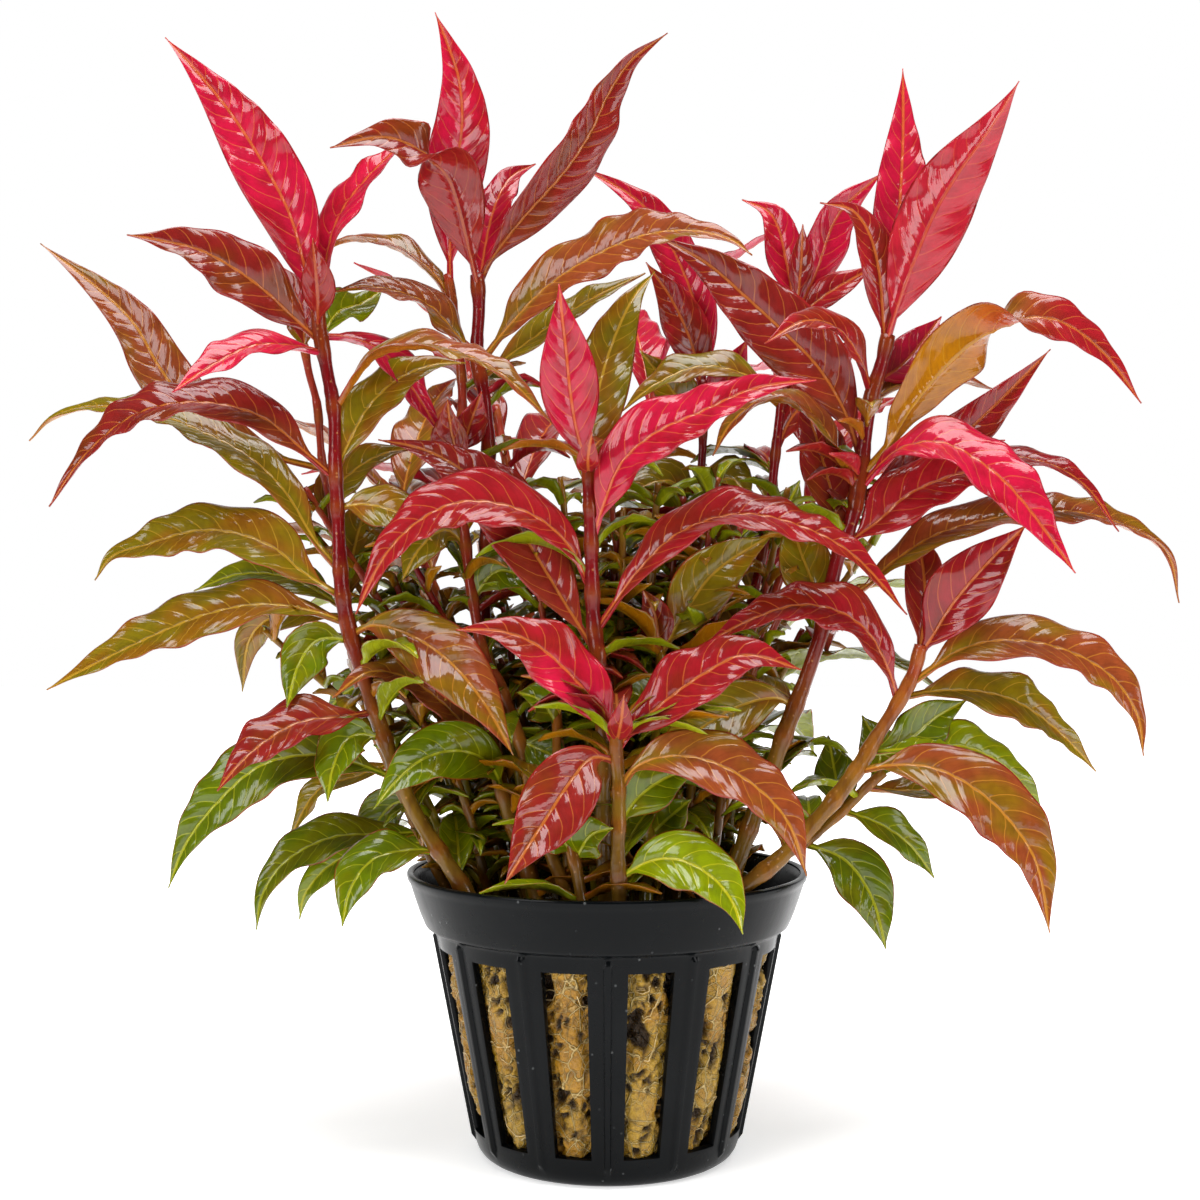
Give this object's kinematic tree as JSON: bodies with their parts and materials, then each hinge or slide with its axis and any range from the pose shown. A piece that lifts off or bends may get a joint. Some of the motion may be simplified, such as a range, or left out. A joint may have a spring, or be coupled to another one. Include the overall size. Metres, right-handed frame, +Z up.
{
  "type": "potted sao paulo red persicaria",
  "caption": "Bushy red and green stem plant with long pointed leaves, rooted in a tan plug in a slotted black tapering net pot.",
  "frame": {"origin": "centre of the pot's underside, on the surface it stands on", "axes": "+Z up the pot's axis, -Y out of the side that faces the viewer, +X to the viewer's right"},
  "size_m": [0.1595, 0.0962, 0.1567],
  "materials": {
    "pot": "satin moulded black plastic",
    "growing_medium": "rough tan fibres with thin roots",
    "leaf_pink": "satin, pink young leaf",
    "leaf_dark_red": "satin, dark red leaf",
    "leaf_olive": "satin, olive leaf",
    "leaf_bronze": "satin, bronze leaf with a red tint",
    "leaf_green": "satin, yellow-green leaf",
    "stem_red": "satin, dark red stem",
    "stem_peach": "satin, peach stem",
    "leaf_crimson": "satin, crimson leaf",
    "leaf_lime": "satin, lime leaf",
    "stem_green": "satin, olive stem"
  },
  "bodies": {
    "root": {"pot": "pot", "growing_medium": "growing_medium", "left_stem_leaf_1": "leaf_pink", "left_stem_leaf_2": "leaf_dark_red", "left_stem_leaf_3": "leaf_pink", "left_stem_leaf_4": "leaf_dark_red", "left_stem_leaf_5": "leaf_olive", "left_stem_leaf_6": "leaf_olive", "left_stem_leaf_7": "leaf_bronze", "left_stem_leaf_8": "leaf_dark_red", "left_stem_leaf_9": "leaf_green", "left_stem_leaf_10": "leaf_bronze", "left_stem": "stem_red", "tall_stem_leaf_1": "leaf_dark_red", "tall_stem_leaf_2": "leaf_dark_red", "tall_stem_leaf_3": "leaf_bronze", "tall_stem_leaf_4": "leaf_bronze", "tall_stem_leaf_5": "leaf_green", "tall_stem": "stem_red", "slim_stem_leaf_1": "leaf_pink", "slim_stem": "stem_peach", "front_stem_leaf_1": "leaf_pink", "front_stem_leaf_2": "leaf_pink", "front_stem_leaf_3": "leaf_crimson", "front_stem_leaf_4": "leaf_crimson", "front_stem_leaf_5": "leaf_dark_red", "front_stem": "stem_red", "bud_stem_leaf_1": "leaf_crimson", "bud_stem_leaf_2": "leaf_pink", "bud_stem_leaf_3": "leaf_dark_red", "bud_stem_leaf_4": "leaf_bronze", "bud_stem_leaf_5": "leaf_lime", "bud_stem": "stem_red", "right_stem_leaf_1": "leaf_crimson", "right_stem_leaf_2": "leaf_pink", "right_stem_leaf_3": "leaf_dark_red", "right_stem_leaf_4": "leaf_olive", "right_stem_leaf_5": "leaf_pink", "right_stem_leaf_6": "leaf_crimson", "right_stem_leaf_7": "leaf_bronze", "right_stem": "stem_red", "far_right_stem_leaf_1": "leaf_crimson", "far_right_stem_leaf_2": "leaf_bronze", "far_right_stem_leaf_3": "leaf_bronze", "far_right_stem_leaf_4": "leaf_crimson", "far_right_stem": "stem_peach", "back_right_stem": "stem_red", "left_low_shoot": "stem_green", "left_side_shoot": "stem_peach", "small_front_shoot": "stem_peach", "centre_shoot": "stem_green", "back_middle_shoot": "stem_red", "right_side_shoot": "stem_peach", "inner_shoot_1": "stem_green", "inner_shoot_2": "stem_green", "back_shoot_1": "stem_peach", "back_shoot_2": "stem_peach", "back_shoot_3": "stem_peach", "back_shoot_4": "stem_peach"}
  },
  "joints": []
}
